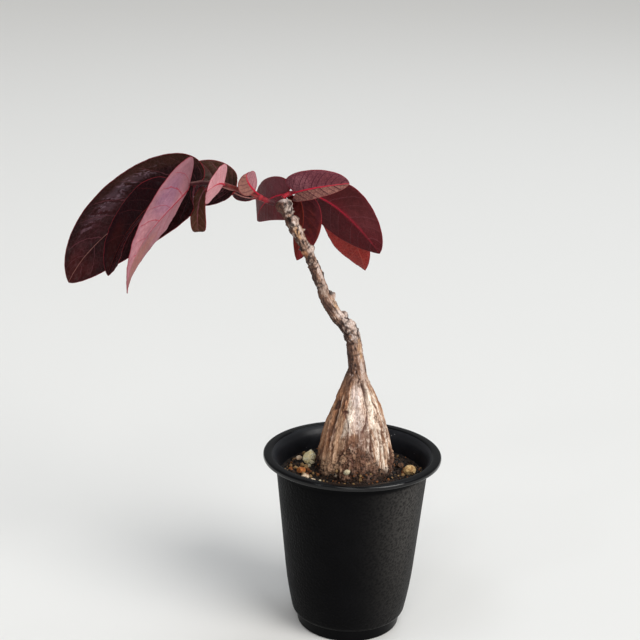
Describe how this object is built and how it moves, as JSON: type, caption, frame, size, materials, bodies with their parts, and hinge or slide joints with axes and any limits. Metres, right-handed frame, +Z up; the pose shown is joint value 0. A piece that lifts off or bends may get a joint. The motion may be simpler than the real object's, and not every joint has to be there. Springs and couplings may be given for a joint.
{
  "type": "potted caudex plant",
  "caption": "Young caudex plant in a round black nursery pot: fat ridged base, crooked bare stem and wine-red leaves on branchlets arching from its top.",
  "frame": {"origin": "centre of the pot's flat underside, on the surface it stands on", "axes": "+Z up, +X to the viewer's right, +Y away from the viewer; the stem leans and the longer branchlet reaches towards -X"},
  "size_m": [0.1845, 0.1172, 0.2499],
  "materials": {
    "pot_black": "satin black, fine leather grain",
    "soil_dark": "dark damp potting mix with bark and grit",
    "bark": "dry fibrous bark, cream and brown",
    "twig_red": "smooth green-wood branchlet, red",
    "leaf_wine": "satin wine-red leaf, paler and pinker underneath",
    "pumice": "rough porous pumice",
    "stone_ochre": "rough fired clay grain",
    "stone_dark": "rough brown grit",
    "grit_pale": "rough pale grit",
    "grit_rust": "rough orange-brown grit"
  },
  "bodies": {
    "root": {"pot": "pot_black", "soil": "soil_dark", "caudex_and_stem": "bark", "branchlet_left": "twig_red", "branchlet_right": "twig_red", "leaf_left_1": "leaf_wine", "leaf_left_2": "leaf_wine", "leaf_left_3": "leaf_wine", "leaf_left_4": "leaf_wine", "leaf_left_5": "leaf_wine", "leaf_left_6": "leaf_wine", "leaf_left_7": "leaf_wine", "leaf_left_tip": "leaf_wine", "leaf_right_1": "leaf_wine", "leaf_right_2": "leaf_wine", "leaf_right_3": "leaf_wine", "leaf_right_4": "leaf_wine", "leaf_right_tip": "leaf_wine", "stone_pumice": "pumice", "stone_tan": "stone_ochre", "stone_brown": "stone_dark", "grit_cream_back": "grit_pale", "grit_cream_left": "grit_pale", "grit_cream_front": "grit_pale", "grit_orange": "grit_rust"}
  },
  "joints": []
}
